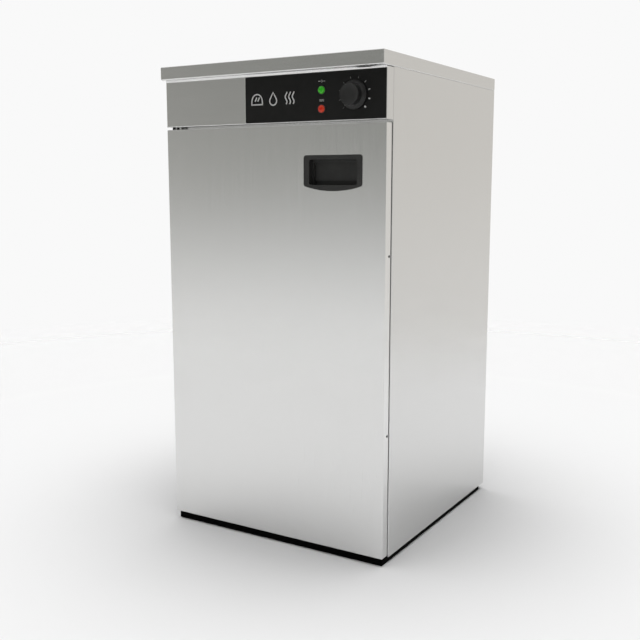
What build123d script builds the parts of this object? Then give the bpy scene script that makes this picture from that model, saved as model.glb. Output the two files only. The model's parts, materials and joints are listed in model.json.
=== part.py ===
"""Single-door heated proofing cabinet: insulated steel body, swing door, shelves and controls.

Millimetres.  +X is to the right, +Y to the back, +Z up.  The origin is on the floor, under
the centre of the cabinet's bounding box.  Depths are counted back from the front edge of
the worktop, and the function y() turns them into row coordinates.
"""
from build123d import *
import os

# ---------------------------------------------------------------- driving dimensions
WIDTH, DEPTH, HEIGHT = 450.0, 485.0, 850.0   # worktop, and floor to worktop
KNOB_OVERHANG = 4.9                          # knob in front of the worktop's edge
GLAND_OVERHANG = 12.0                        # cable gland behind the worktop's edge
SHEET = 1.0                                  # folded stainless sheet
BEND = 1.2                                   # outer radius of a folded edge
CORNER = 2.0                                 # worktop's corners and rolled lower edge

WORKTOP_SKIRT = 23.0
FLOOR_GAP = 11.5                             # floor to the underside of the body
PLINTH_HALF, PLINTH_DEPTHS = 220.8, (19.9, 470.0)
BODY_HALF = WIDTH / 2 - 0.5                  # side panels, just inside the worktop
FACE = 36.0                                  # depth of the frame that the door closes on
BACK = DEPTH - 1.0                           # depth of the back panel's outer face

CAVITY_HALF = 198.0                          # chamber, side to side
CAVITY_BACK = 455.0
CAVITY_FLOOR, CAVITY_ROOF = 44.8, 712.0
LINER = 0.8
TRAY = 737.0                                 # underside of the control bay's floor

FRONT = 13.6                                 # depth of the door's and fascia's front plane
FRONT_HALF = WIDTH / 2 - 1.0                 # door and fascia, side to side
FASCIA_LOW, FASCIA_HIGH = 745.0, 826.4
FASCIA_BEND = 3.0                            # round fold along the fascia's top
PANEL_LEFT, PANEL_RIGHT = -47.7, 222.8       # black control panel
PANEL_LOW, PANEL_HIGH = FASCIA_LOW + 1.6, 823.3
PANEL_RECESS = 1.6
PANEL_THICK = 1.3

KNOB_X, KNOB_Z = 165.6, 784.7
LAMP_X = 104.7
LAMP_Z = {"green": 795.0, "red": 765.0}

DOOR_LOW, DOOR_HIGH = 15.4, 740.4
DOOR_BACK = 32.0
DOOR_FLANGE = 12.0                           # folded back along the skin's rear edge
HINGE_X, HINGE_DEPTH = -216.0, 24.0
PIN_R, PIN_BORE_R = 2.5, 2.55
GRIP_LEFT, GRIP_RIGHT = 70.0, 181.0
GRIP_TOP, GRIP_LOW, GRIP_SAG = 691.0, 640.5, 8.3
RECESS_X, RECESS_Z = (81.0, 172.0), (642.0, 684.0)
GASKET_HALF, GASKET_WIDTH = 210.0, 10.0

RUNNER_FIRST, RUNNER_PITCH, RUNNER_COUNT = 140.0, 60.0, 9
SHELF_RUNNERS = (1, 4, 7)                    # runner that each shelf lies on
SHELF_FRONT, SHELF_BACK, SHELF_HALF = 62.0, 434.0, 193.0
SHELF_REST = 0.3                             # running clearance over a runner

FOOT_X, FOOT_DEPTHS = 190.0, (85.0, 435.0)
STUD_R, NUT_BORE_R = 4.0, 4.06

FRONT_EDGE_Y = (KNOB_OVERHANG - DEPTH - GLAND_OVERHANG) / 2


# ---------------------------------------------------------------- helpers
def y(depth):
    """Row coordinate of a depth behind the worktop's front edge."""
    return FRONT_EDGE_Y + depth


def block(x_limits, depths, z_limits, mode=Mode.ADD):
    """A rectangular block between two limits along each axis."""
    centre = (sum(x_limits) / 2, y(sum(depths) / 2))
    with BuildSketch(Plane.XY.offset(z_limits[0])) as outline:
        with Locations(centre):
            Rectangle(x_limits[1] - x_limits[0], depths[1] - depths[0])
    extrude(outline.sketch, amount=z_limits[1] - z_limits[0], mode=mode)


def rod_y(x, z, depths, radius, mode=Mode.ADD):
    """A round rod or hole along Y, between two depths."""
    with BuildSketch(Plane.XZ.offset(-y(depths[1]))) as outline:
        with Locations((x, z)):
            Circle(radius)
    extrude(outline.sketch, amount=depths[1] - depths[0], mode=mode)


def rod_x(depth, z, x_limits, radius, mode=Mode.ADD):
    """A round rod along X."""
    with BuildSketch(Plane.YZ.offset(x_limits[0])) as outline:
        with Locations((y(depth), z)):
            Circle(radius)
    extrude(outline.sketch, amount=x_limits[1] - x_limits[0], mode=mode)


def rod_z(x, depth, z_limits, radius, mode=Mode.ADD):
    """A round rod or hole along Z."""
    with BuildSketch(Plane.XY.offset(z_limits[0])) as outline:
        with Locations((x, y(depth))):
            Circle(radius)
    extrude(outline.sketch, amount=z_limits[1] - z_limits[0], mode=mode)


def turned_y(x, z, outline):
    """A piece turned about a line along Y, from (radius, depth) points."""
    with BuildSketch(Plane.XY.offset(z)) as profile:
        with BuildLine():
            Polyline([(x + r, y(d)) for r, d in outline], close=True)
        make_face()
    revolve(profile.sketch, axis=Axis((x, 0, z), (0, 1, 0)))


def save(part, label):
    """Name a finished sub-part and write its STEP file."""
    part.label = label
    export_step(part, f"parts/{label}.step")


os.makedirs("parts", exist_ok=True)

# ---------------------------------------------------------------- outer body
TOP_SHEET = 1.2
HEM = 14.0
SKIRT_LOW = HEIGHT - WORKTOP_SKIRT

with BuildPart() as worktop:
    block((-WIDTH / 2, WIDTH / 2), (0, DEPTH), (SKIRT_LOW, HEIGHT))
    fillet(worktop.edges().filter_by(Axis.Z), CORNER)
    fillet(worktop.faces().sort_by(Axis.Z)[-1].edges(), BEND)
    fillet(worktop.faces().sort_by(Axis.Z)[0].edges(), CORNER)
    inner_half = WIDTH / 2 - TOP_SHEET
    block((-inner_half, inner_half), (TOP_SHEET, DEPTH - TOP_SHEET),
          (SKIRT_LOW + TOP_SHEET, HEIGHT - TOP_SHEET), Mode.SUBTRACT)
    block((HEM - WIDTH / 2, WIDTH / 2 - HEM), (HEM, DEPTH - HEM),
          (SKIRT_LOW, SKIRT_LOW + TOP_SHEET), Mode.SUBTRACT)
save(worktop.part, "worktop")

REAR_FLANGE = 18.0

for side, name in ((-1, "left_side_panel"), (1, "right_side_panel")):
    def across(near, far):
        """X limits on this side, given as distances from the middle."""
        return tuple(sorted((side * near, side * far)))

    with BuildPart() as side_panel:
        block(across(CAVITY_HALF, BODY_HALF), (FACE, BACK), (FLOOR_GAP, SKIRT_LOW))
        front_edge = side_panel.edges().filter_by(Axis.Z).group_by(Axis.Y)[0]
        fillet(front_edge.sort_by(Axis.X)[0 if side < 0 else -1], BEND)
        block(across(CAVITY_HALF, BODY_HALF - SHEET), (FACE + SHEET, BACK - 2 * SHEET),
              (FLOOR_GAP, SKIRT_LOW), Mode.SUBTRACT)
        block(across(CAVITY_HALF, BODY_HALF - SHEET), (BACK - SHEET, BACK),
              (FLOOR_GAP, SKIRT_LOW), Mode.SUBTRACT)
        block(across(CAVITY_HALF, BODY_HALF - REAR_FLANGE), (BACK - 2 * SHEET, BACK - SHEET),
              (FLOOR_GAP, SKIRT_LOW), Mode.SUBTRACT)
    save(side_panel.part, name)

PANEL_HALF = BODY_HALF - SHEET
GLAND_X, GLAND_Z = -150.0, 785.0
GLAND_THREAD_R = 8.0
LOUVRE_X, LOUVRE_Z = 80.0, 785.0              # middle of the louvre field
LOUVRE_LENGTH, LOUVRE_HEIGHT, LOUVRE_PITCH = 70.0, 4.0, 12.0
HOOD_DEPTH = 0.9                              # pressed outward over each slot

with BuildPart() as back_panel:
    block((-PANEL_HALF, PANEL_HALF), (BACK - SHEET, BACK), (FLOOR_GAP, SKIRT_LOW))
    rod_y(GLAND_X, GLAND_Z, (BACK - SHEET, BACK), GLAND_THREAD_R + 0.3, Mode.SUBTRACT)
    for louvre_z, outward, mode in ((LOUVRE_Z, -SHEET, Mode.SUBTRACT),
                                    (LOUVRE_Z + LOUVRE_HEIGHT, HOOD_DEPTH, Mode.ADD)):
        with BuildSketch(Plane.XZ.offset(-y(BACK))) as louvres:
            with Locations((LOUVRE_X, louvre_z)):
                with GridLocations(LOUVRE_LENGTH + 20, LOUVRE_PITCH, 2, 5):
                    Rectangle(LOUVRE_LENGTH, LOUVRE_HEIGHT)
        extrude(louvres.sketch, amount=-outward, mode=mode)
save(back_panel.part, "back_panel")

with BuildPart() as base_pan:
    block((-PANEL_HALF, PANEL_HALF), (FACE + SHEET, BACK - 2 * SHEET),
          (FLOOR_GAP, FLOOR_GAP + SHEET))
    for foot_x in (-FOOT_X, FOOT_X):
        for foot_depth in FOOT_DEPTHS:
            rod_z(foot_x, foot_depth, (FLOOR_GAP, FLOOR_GAP + SHEET), STUD_R + 0.5,
                  Mode.SUBTRACT)
save(base_pan.part, "base_pan")

PLINTH_CLEARANCE = 0.5                        # the feet stand, the plinth doesn't
PLINTH_FLANGE, PLINTH_FRONT_FLANGE = 12.0, 30.0

with BuildPart() as plinth:
    block((-PLINTH_HALF, PLINTH_HALF), PLINTH_DEPTHS, (PLINTH_CLEARANCE, FLOOR_GAP))
    fillet(plinth.edges().filter_by(Axis.Z), BEND)
    block((SHEET - PLINTH_HALF, PLINTH_HALF - SHEET),
          (PLINTH_DEPTHS[0] + SHEET, PLINTH_DEPTHS[1] - SHEET),
          (PLINTH_CLEARANCE, FLOOR_GAP - SHEET), Mode.SUBTRACT)
    block((PLINTH_FLANGE - PLINTH_HALF, PLINTH_HALF - PLINTH_FLANGE),
          (PLINTH_DEPTHS[0] + PLINTH_FRONT_FLANGE, PLINTH_DEPTHS[1] - PLINTH_FLANGE),
          (FLOOR_GAP - SHEET, FLOOR_GAP), Mode.SUBTRACT)
    rod_z(HINGE_X, HINGE_DEPTH, (FLOOR_GAP - SHEET, FLOOR_GAP), PIN_R + 0.2, Mode.SUBTRACT)
save(plinth.part, "plinth")

RAIL_FLANGE = 20.0

with BuildPart() as front_top_rail:
    block((-CAVITY_HALF, CAVITY_HALF), (FACE, FACE + SHEET), (CAVITY_ROOF, FASCIA_LOW))
    block((-CAVITY_HALF, CAVITY_HALF), (FACE, FACE + RAIL_FLANGE),
          (FASCIA_LOW - SHEET, FASCIA_LOW))
save(front_top_rail.part, "front_top_rail")

with BuildPart() as front_bottom_rail:
    block((-CAVITY_HALF, CAVITY_HALF), (FACE, FACE + SHEET), (FLOOR_GAP, CAVITY_FLOOR))
save(front_bottom_rail.part, "front_bottom_rail")

# ---------------------------------------------------------------- chamber liner
LINER_FRONT = FACE + SHEET
ELEMENT_Z, ELEMENT_R, ELEMENT_HALF = 66.0, 4.0, 120.0
PROBE_DEPTH, PROBE_Z = 100.0, 704.0

for side, name in ((-1, "liner_left"), (1, "liner_right")):
    with BuildPart() as liner_wall:
        block(sorted((side * CAVITY_HALF, side * (CAVITY_HALF + LINER))),
              (LINER_FRONT, CAVITY_BACK + LINER), (CAVITY_FLOOR - LINER, CAVITY_ROOF + LINER))
    save(liner_wall.part, name)

with BuildPart() as liner_back:
    block((-CAVITY_HALF, CAVITY_HALF), (CAVITY_BACK, CAVITY_BACK + LINER),
          (CAVITY_FLOOR, CAVITY_ROOF))
    for terminal_x in (-ELEMENT_HALF, ELEMENT_HALF):
        rod_y(terminal_x, ELEMENT_Z, (CAVITY_BACK, CAVITY_BACK + LINER), ELEMENT_R + 0.3,
              Mode.SUBTRACT)
save(liner_back.part, "liner_back")

with BuildPart() as liner_roof:
    block((-CAVITY_HALF, CAVITY_HALF), (LINER_FRONT, CAVITY_BACK + LINER),
          (CAVITY_ROOF, CAVITY_ROOF + LINER))
    rod_z(KNOB_X, PROBE_DEPTH, (CAVITY_ROOF, CAVITY_ROOF + LINER), 2.0, Mode.SUBTRACT)
save(liner_roof.part, "liner_roof")

with BuildPart() as liner_floor:
    block((-CAVITY_HALF, CAVITY_HALF), (LINER_FRONT, CAVITY_BACK + LINER),
          (CAVITY_FLOOR - LINER, CAVITY_FLOOR))
save(liner_floor.part, "liner_floor")

# ---------------------------------------------------------------- insulation slabs
SLAB_FRONT, SLAB_BACK, SLAB_LOW = 40.0, 476.0, 22.0
WALL_SLAB = (CAVITY_HALF + LINER, PANEL_HALF)

for side, name in ((-1, "insulation_left"), (1, "insulation_right")):
    with BuildPart() as wall_slab:
        block(sorted(side * edge for edge in WALL_SLAB), (SLAB_FRONT, SLAB_BACK),
              (SLAB_LOW, TRAY))
    save(wall_slab.part, name)

with BuildPart() as insulation_back:
    block((-CAVITY_HALF, CAVITY_HALF), (CAVITY_BACK + LINER, SLAB_BACK), (SLAB_LOW, TRAY))
    for terminal_x in (-ELEMENT_HALF, ELEMENT_HALF):
        rod_y(terminal_x, ELEMENT_Z, (CAVITY_BACK, SLAB_BACK), ELEMENT_R + 0.3, Mode.SUBTRACT)
save(insulation_back.part, "insulation_back")

with BuildPart() as insulation_roof:
    block((-CAVITY_HALF, CAVITY_HALF), (SLAB_FRONT, CAVITY_BACK), (CAVITY_ROOF + LINER, TRAY))
    rod_z(KNOB_X, PROBE_DEPTH, (CAVITY_ROOF, TRAY), 2.0, Mode.SUBTRACT)
save(insulation_roof.part, "insulation_roof")

with BuildPart() as insulation_floor:
    block((-CAVITY_HALF, CAVITY_HALF), (SLAB_FRONT, CAVITY_BACK),
          (SLAB_LOW, CAVITY_FLOOR - LINER))
save(insulation_floor.part, "insulation_floor")

# ---------------------------------------------------------------- control bay
BUSH_R = 5.0                                  # thermostat bush and lamp stems
RECESSED = FRONT + PANEL_RECESS               # depth of the fascia behind the black panel

with BuildPart() as bay_tray:
    block((-PANEL_HALF + 0.5, PANEL_HALF - 0.5), (FACE + SHEET + 2, BACK - 3),
          (TRAY, TRAY + SHEET))
    rod_z(KNOB_X, PROBE_DEPTH, (TRAY, TRAY + SHEET), 2.0, Mode.SUBTRACT)
save(bay_tray.part, "bay_tray")


def folded_bar(half, depths, z_limits, bend, mode=Mode.ADD):
    """A bar along X whose upper front edge is rounded."""
    with BuildSketch(Plane.YZ.offset(-half)) as outline:
        with Locations((y(sum(depths) / 2), sum(z_limits) / 2)):
            Rectangle(depths[1] - depths[0], z_limits[1] - z_limits[0])
        fillet(outline.vertices().group_by(Axis.Y)[-1].sort_by(Axis.X)[0], bend)
    extrude(outline.sketch, amount=2 * half, mode=mode)


with BuildPart() as fascia:
    folded_bar(FRONT_HALF, (FRONT, FACE), (FASCIA_LOW, FASCIA_HIGH), FASCIA_BEND)
    front_corners = fascia.edges().filter_by(Axis.Z).group_by(Axis.Y)[0]
    fillet(front_corners, BEND)
    folded_bar(FRONT_HALF - SHEET, (FRONT + SHEET, FACE),
               (FASCIA_LOW + SHEET, FASCIA_HIGH - SHEET), FASCIA_BEND - SHEET, Mode.SUBTRACT)
    block((PANEL_LEFT - 2, FRONT_HALF - SHEET), (RECESSED, RECESSED + SHEET),
          (FASCIA_LOW, FASCIA_HIGH - SHEET))
    with BuildSketch(Plane.XY.offset(FASCIA_LOW + SHEET)) as recess:
        with BuildLine():
            Polyline((PANEL_LEFT - 1.8, y(FRONT)), (PANEL_LEFT - 0.1, y(RECESSED)),
                     (FRONT_HALF - SHEET, y(RECESSED)), (FRONT_HALF - SHEET, y(FRONT)),
                     close=True)
        make_face()
    extrude(recess.sketch, amount=PANEL_HIGH + 0.2 - FASCIA_LOW - SHEET, mode=Mode.SUBTRACT)
    rod_y(KNOB_X, KNOB_Z, (FRONT, FACE), BUSH_R + 0.2, Mode.SUBTRACT)
    for lamp_z in LAMP_Z.values():
        rod_y(LAMP_X, lamp_z, (FRONT, FACE), BUSH_R + 0.2, Mode.SUBTRACT)
    rod_z(HINGE_X, HINGE_DEPTH, (FASCIA_LOW, FASCIA_LOW + SHEET), PIN_R + 1.0, Mode.SUBTRACT)
save(fascia.part, "fascia")

with BuildPart() as control_panel:
    panel_front = RECESSED - PANEL_THICK
    block((PANEL_LEFT, PANEL_RIGHT), (panel_front, RECESSED), (PANEL_LOW, PANEL_HIGH))
    corners = control_panel.edges().filter_by(Axis.Y).group_by(Axis.Z)
    fillet(corners[0], 2.5)
    fillet(corners[-1], 1.0)
    fillet(control_panel.faces().sort_by(Axis.Y)[0].edges(), 0.3)
    rod_y(KNOB_X, KNOB_Z, (FRONT, FACE), BUSH_R + 0.2, Mode.SUBTRACT)
    for lamp_z in LAMP_Z.values():
        rod_y(LAMP_X, lamp_z, (FRONT, FACE), BUSH_R + 0.2, Mode.SUBTRACT)
save(control_panel.part, "control_panel")

LAMP_R = 7.0
STEM_END = 21.0

for colour, lamp_z in LAMP_Z.items():
    with BuildPart() as lamp_lens:
        turned_y(LAMP_X, lamp_z, [
            (0, 9.6), (2.6, 9.8), (4.6, 10.4), (6.0, 11.4), (LAMP_R, 12.6), (LAMP_R, panel_front),
            (BUSH_R - 0.2, panel_front), (BUSH_R - 0.2, STEM_END), (0, STEM_END)])
    save(lamp_lens.part, f"{colour}_lamp_lens")

with BuildPart() as lamp_holders:
    for lamp_z in LAMP_Z.values():
        rod_y(LAMP_X, lamp_z, (RECESSED + SHEET, 44), 8.0)
        rod_y(LAMP_X, lamp_z, (RECESSED + SHEET, STEM_END), BUSH_R, Mode.SUBTRACT)
        for blade_x in (-3, 3):
            block((LAMP_X + blade_x - 0.4, LAMP_X + blade_x + 0.4), (44, 52),
                  (lamp_z - 2.4, lamp_z + 2.4))
save(lamp_holders.part, "lamp_holders")

SPINDLE_R, SPINDLE_BORE_R = 3.0, 3.05
SPINDLE_END = 30.0
THERMOSTAT_BACK = 54.0

with BuildPart() as thermostat:
    block((KNOB_X - 18, KNOB_X + 18), (20, THERMOSTAT_BACK), (KNOB_Z - 20, KNOB_Z + 20))
    fillet(thermostat.edges().filter_by(Axis.Y), 4)
    block((KNOB_X - 14, KNOB_X + 14), (RECESSED + SHEET, 20), (KNOB_Z - 12, KNOB_Z + 12))
    rod_y(KNOB_X, KNOB_Z, (panel_front + 0.2, 20), BUSH_R)
    rod_y(KNOB_X, KNOB_Z, (panel_front, SPINDLE_END + 1), SPINDLE_BORE_R, Mode.SUBTRACT)
    for blade_x in (-10, 0, 10):
        block((KNOB_X + blade_x - 0.4, KNOB_X + blade_x + 0.4), (THERMOSTAT_BACK, 62),
              (KNOB_Z + 8, KNOB_Z + 14))
save(thermostat.part, "thermostat")

with BuildPart() as thermostat_probe:
    probe_x = KNOB_X
    with BuildLine() as capillary:
        FilletPolyline((probe_x, y(THERMOSTAT_BACK), KNOB_Z - 8),
                       (probe_x, y(PROBE_DEPTH), KNOB_Z - 8),
                       (probe_x, y(PROBE_DEPTH), PROBE_Z),
                       (probe_x, y(PROBE_DEPTH + 60), PROBE_Z), radius=12)
    with BuildSketch(Plane(origin=capillary.line @ 0, z_dir=capillary.line % 0)) as bore:
        Circle(1.0)
    sweep(bore.sketch, path=capillary.line)
    rod_y(probe_x, PROBE_Z, (PROBE_DEPTH + 59, PROBE_DEPTH + 160), 3.5)
save(thermostat_probe.part, "thermostat_probe")

with BuildPart() as terminal_block:
    block((-200, -140), (400, 424), (TRAY + SHEET, TRAY + 22))
    with BuildSketch(Plane.XY.offset(TRAY + 22)) as wire_ways:
        with Locations((-170, y(412))):
            with GridLocations(10, 14, 5, 2):
                Rectangle(6, 6)
    extrude(wire_ways.sketch, amount=-9, mode=Mode.SUBTRACT)
save(terminal_block.part, "terminal_block")

# ---------------------------------------------------------------- knob and spindle
with BuildPart() as knob:
    turned_y(KNOB_X, KNOB_Z, [
        (SPINDLE_BORE_R, 2), (SPINDLE_BORE_R, 13.1), (22.4, 13.1), (23.0, 12.5), (23.0, 11.0),
        (22.2, 10.2), (19.8, 9.0), (17.8, 8.2), (17.4, 7.4), (17.6, -4.0), (16.7, -4.9),
        (0, -4.9), (0, 2)])
    with BuildSketch(Plane.XZ.offset(-y(11.4))) as notch:
        with Locations(Location((KNOB_X, KNOB_Z), 225)):
            with Locations((20.6, 0)):
                Rectangle(3.4, 1.4)
    extrude(notch.sketch, amount=4, mode=Mode.SUBTRACT)
save(knob.part, "knob")

with BuildPart() as knob_spindle:
    rod_y(KNOB_X, KNOB_Z, (2, SPINDLE_END), SPINDLE_R)
save(knob_spindle.part, "knob_spindle")

# ---------------------------------------------------------------- heating
GUARD_HALF, GUARD_TOP = 172.0, 91.2
GUARD_DEPTHS = (66.0, 436.0)
GUARD_SHEET = 1.2

with BuildPart() as heating_element:
    hairpin = (-ELEMENT_HALF, 472), (-ELEMENT_HALF, 110), (-ELEMENT_HALF / 3, 110), \
        (-ELEMENT_HALF / 3, 400), (ELEMENT_HALF / 3, 400), (ELEMENT_HALF / 3, 110), \
        (ELEMENT_HALF, 110), (ELEMENT_HALF, 472)
    with BuildLine() as tube_path:
        FilletPolyline([(px, y(depth), ELEMENT_Z) for px, depth in hairpin], radius=36)
    with BuildSketch(Plane(origin=tube_path.line @ 0, z_dir=tube_path.line % 0)) as tube:
        Circle(ELEMENT_R)
    sweep(tube.sketch, path=tube_path.line)
save(heating_element.part, "heating_element")

with BuildPart() as element_clips:
    for clip_depth in (190, 330):
        block((-140, 140), (clip_depth, clip_depth + 12), (ELEMENT_Z - 6, ELEMENT_Z - 4.2))
        for leg_x in (-140, -1, 138):
            block((leg_x, leg_x + 2), (clip_depth, clip_depth + 12),
                  (CAVITY_FLOOR, ELEMENT_Z - 4.2))
save(element_clips.part, "element_clips")

with BuildPart() as element_guard:
    block((-GUARD_HALF, GUARD_HALF), GUARD_DEPTHS, (CAVITY_FLOOR, GUARD_TOP))
    fillet(element_guard.faces().sort_by(Axis.Z)[-1].edges().filter_by(Axis.Y), 2)
    block((GUARD_SHEET - GUARD_HALF, GUARD_HALF - GUARD_SHEET), GUARD_DEPTHS,
          (CAVITY_FLOOR, GUARD_TOP - GUARD_SHEET), Mode.SUBTRACT)
    with BuildSketch(Plane.XY.offset(GUARD_TOP)) as air_slots:
        with Locations((0, y(sum(GUARD_DEPTHS) / 2))):
            with GridLocations(16, 84, 20, 4):
                Rectangle(6, 66)
    extrude(air_slots.sketch, amount=-2 * GUARD_SHEET, mode=Mode.SUBTRACT)
save(element_guard.part, "element_guard")

PAN_HALF, PAN_DEPTHS = 120.0, (110.0, 390.0)
PAN_LOW, PAN_HIGH = GUARD_TOP + 0.3, 128.0
PAN_WALL = 1.0

with BuildPart() as water_pan:
    block((-PAN_HALF, PAN_HALF), PAN_DEPTHS, (PAN_LOW, PAN_HIGH))
    fillet(water_pan.edges().filter_by(Axis.Z), 18)
    fillet(water_pan.faces().sort_by(Axis.Z)[0].edges(), 6)
    offset(amount=-PAN_WALL, openings=water_pan.faces().sort_by(Axis.Z)[-1])
    with BuildSketch(Plane.XY.offset(PAN_HIGH - PAN_WALL)) as rim:
        with Locations((0, y(sum(PAN_DEPTHS) / 2))):
            RectangleRounded(2 * PAN_HALF + 20, PAN_DEPTHS[1] - PAN_DEPTHS[0] + 20, 28)
            RectangleRounded(2 * PAN_HALF - 1, PAN_DEPTHS[1] - PAN_DEPTHS[0] - 1, 17.5,
                             mode=Mode.SUBTRACT)
    extrude(rim.sketch, amount=PAN_WALL)
save(water_pan.part, "water_pan")

# ---------------------------------------------------------------- racks and shelves
RACK_SHEET = 1.2
RACK_DEPTHS = (60.0, 440.0)
RACK_LOW = RUNNER_FIRST - 30
RACK_HIGH = RUNNER_FIRST + RUNNER_PITCH * (RUNNER_COUNT - 1) + 40
RUNNER_WIDTH = 13.0
runner_levels = [RUNNER_FIRST + RUNNER_PITCH * level for level in range(RUNNER_COUNT)]

for side, name in ((-1, "left_rack"), (1, "right_rack")):
    with BuildPart() as rack:
        plate_x = CAVITY_HALF - RACK_SHEET
        block(sorted((side * plate_x, side * CAVITY_HALF)), RACK_DEPTHS, (RACK_LOW, RACK_HIGH))
        with BuildSketch(Plane.YZ.offset(-CAVITY_HALF)) as windows:
            for level in runner_levels[:-1]:
                with Locations((y(sum(RACK_DEPTHS) / 2), level + RUNNER_PITCH / 2)):
                    with GridLocations(90, 0, 4, 1):
                        RectangleRounded(70, RUNNER_PITCH - 26, 8)
        extrude(windows.sketch, amount=2 * CAVITY_HALF, mode=Mode.SUBTRACT)
        for level in runner_levels:
            block(sorted((side * (plate_x - RUNNER_WIDTH), side * plate_x)),
                  (RACK_DEPTHS[0] + 4, RACK_DEPTHS[1] - 4), (level - 1.5, level))
    save(rack.part, name)

FRAME_R, WIRE_R = 3.0, 1.75
WIRE_COUNT = 15

for number, runner in enumerate(SHELF_RUNNERS, start=1):
    rod_z_level = runner_levels[runner] + SHELF_REST + FRAME_R
    inner_x = SHELF_HALF - FRAME_R
    inner_depths = (SHELF_FRONT + FRAME_R, SHELF_BACK - FRAME_R)
    with BuildPart() as shelf:
        with BuildLine() as frame_path:
            FilletPolyline((inner_x, y(inner_depths[0]), rod_z_level),
                           (inner_x, y(inner_depths[1]), rod_z_level),
                           (-inner_x, y(inner_depths[1]), rod_z_level),
                           (-inner_x, y(inner_depths[0]), rod_z_level), radius=10, close=True)
        with BuildSketch(Plane(origin=frame_path.line @ 0, z_dir=frame_path.line % 0)) as rod:
            Circle(FRAME_R)
        sweep(rod.sketch, path=frame_path.line)
        pitch = 2 * inner_x / (WIRE_COUNT + 1)
        for wire in range(1, WIRE_COUNT + 1):
            rod_y(wire * pitch - inner_x, rod_z_level + 2.0, inner_depths, WIRE_R)
        for bar_depth in (185, 311):
            rod_x(bar_depth, rod_z_level - 0.6, (-inner_x, inner_x), 2.2)
    save(shelf.part, f"shelf_{number}")

# ---------------------------------------------------------------- door
SKIN_INNER = FRONT + SHEET
PANEL_DEPTH = DOOR_BACK - 2 * SHEET           # front of the door's inner panel
BLOCK_HEIGHT = 12.0
SCREW_X = HINGE_X + 9.0
door_ends = ((DOOR_HIGH, -1), (DOOR_LOW, 1))  # level, and the way into the door

with BuildPart() as door_skin:
    block((-FRONT_HALF, FRONT_HALF), (FRONT, DOOR_BACK), (DOOR_LOW, DOOR_HIGH))
    fillet(door_skin.edges().filter_by(Axis.Z), BEND)
    fillet(door_skin.faces().sort_by(Axis.Y)[0].edges().filter_by(Axis.X), BEND / 2)
    block((SHEET - FRONT_HALF, FRONT_HALF - SHEET), (SKIN_INNER, DOOR_BACK - SHEET),
          (DOOR_LOW + SHEET, DOOR_HIGH - SHEET), Mode.SUBTRACT)
    block((DOOR_FLANGE - FRONT_HALF, FRONT_HALF - DOOR_FLANGE), (DOOR_BACK - SHEET, DOOR_BACK),
          (DOOR_LOW + DOOR_FLANGE, DOOR_HIGH - DOOR_FLANGE), Mode.SUBTRACT)
    block((RECESS_X[0] - 2, RECESS_X[1] + 2), (FRONT, SKIN_INNER),
          (RECESS_Z[0] - 2, RECESS_Z[1] + 2), Mode.SUBTRACT)
    for level, inward in door_ends:
        ends = sorted((level, level + inward * SHEET))
        rod_z(HINGE_X, HINGE_DEPTH, ends, 4.2, Mode.SUBTRACT)
        rod_z(SCREW_X, HINGE_DEPTH, ends, 2.2, Mode.SUBTRACT)
save(door_skin.part, "door_skin")

with BuildPart() as hinge_blocks:
    for level, inward in door_ends:
        seat = level + inward * SHEET
        block((-222.8, SCREW_X + 5), (HINGE_DEPTH - 6.8, PANEL_DEPTH - 0.2),
              sorted((seat, seat + inward * BLOCK_HEIGHT)))
        rod_z(HINGE_X, HINGE_DEPTH, sorted((level, seat)), 4.0)
        rod_z(HINGE_X, HINGE_DEPTH, sorted((level, seat + inward * BLOCK_HEIGHT)), PIN_BORE_R,
              Mode.SUBTRACT)
        rod_z(SCREW_X, HINGE_DEPTH, sorted((seat, seat + inward * BLOCK_HEIGHT)), 2.05,
              Mode.SUBTRACT)
save(hinge_blocks.part, "hinge_blocks")

HEAD_HEIGHTS = (4.2, 3.2)                      # screw heads over and under the door

with BuildPart() as hinge_block_screws:
    for (level, inward), head_height in zip(door_ends, HEAD_HEIGHTS):
        rod_z(SCREW_X, HINGE_DEPTH, sorted((level - inward * head_height, level)), 2.8)
        rod_z(SCREW_X, HINGE_DEPTH, sorted((level, level + inward * 11)), 2.0)
save(hinge_block_screws.part, "hinge_block_screws")

with BuildPart() as door_inner_panel:
    block((8 - FRONT_HALF, FRONT_HALF - 8), (PANEL_DEPTH, PANEL_DEPTH + SHEET),
          (DOOR_LOW + 8, DOOR_HIGH - 8))
save(door_inner_panel.part, "door_inner_panel")

with BuildPart() as door_insulation:
    block((-200, 200), (SKIN_INNER, PANEL_DEPTH), (DOOR_LOW + 16, DOOR_HIGH - 16))
    block((RECESS_X[0] - 3, RECESS_X[1] + 3), (SKIN_INNER, PANEL_DEPTH),
          (RECESS_Z[0] - 3, RECESS_Z[1] + 3), Mode.SUBTRACT)
save(door_insulation.part, "door_insulation")

GASKET_LOW = DOOR_LOW + FRONT_HALF - GASKET_HALF
GASKET_HIGH = DOOR_HIGH - FRONT_HALF + GASKET_HALF
GASKET_DEPTHS = (PANEL_DEPTH + SHEET, FACE - 0.4)
gasket_inner = GASKET_HALF - GASKET_WIDTH
GASKET_JOINT = 0.2                            # butt joint between two lengths

with BuildPart() as door_gasket:
    for strip_x in ((-GASKET_HALF, -gasket_inner), (gasket_inner, GASKET_HALF)):
        block(strip_x, GASKET_DEPTHS, (GASKET_LOW, GASKET_HIGH))
    for strip_z in ((GASKET_LOW, GASKET_LOW + GASKET_WIDTH),
                    (GASKET_HIGH - GASKET_WIDTH, GASKET_HIGH)):
        block((GASKET_JOINT - gasket_inner, gasket_inner - GASKET_JOINT), GASKET_DEPTHS, strip_z)
    groove = (GASKET_DEPTHS[0] + 1.6, GASKET_DEPTHS[0] + 2.8)
    for strip_x in (-GASKET_HALF, GASKET_HALF - 2):
        block((strip_x, strip_x + 2), groove, (GASKET_LOW, GASKET_HIGH), Mode.SUBTRACT)
save(door_gasket.part, "door_gasket")

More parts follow.
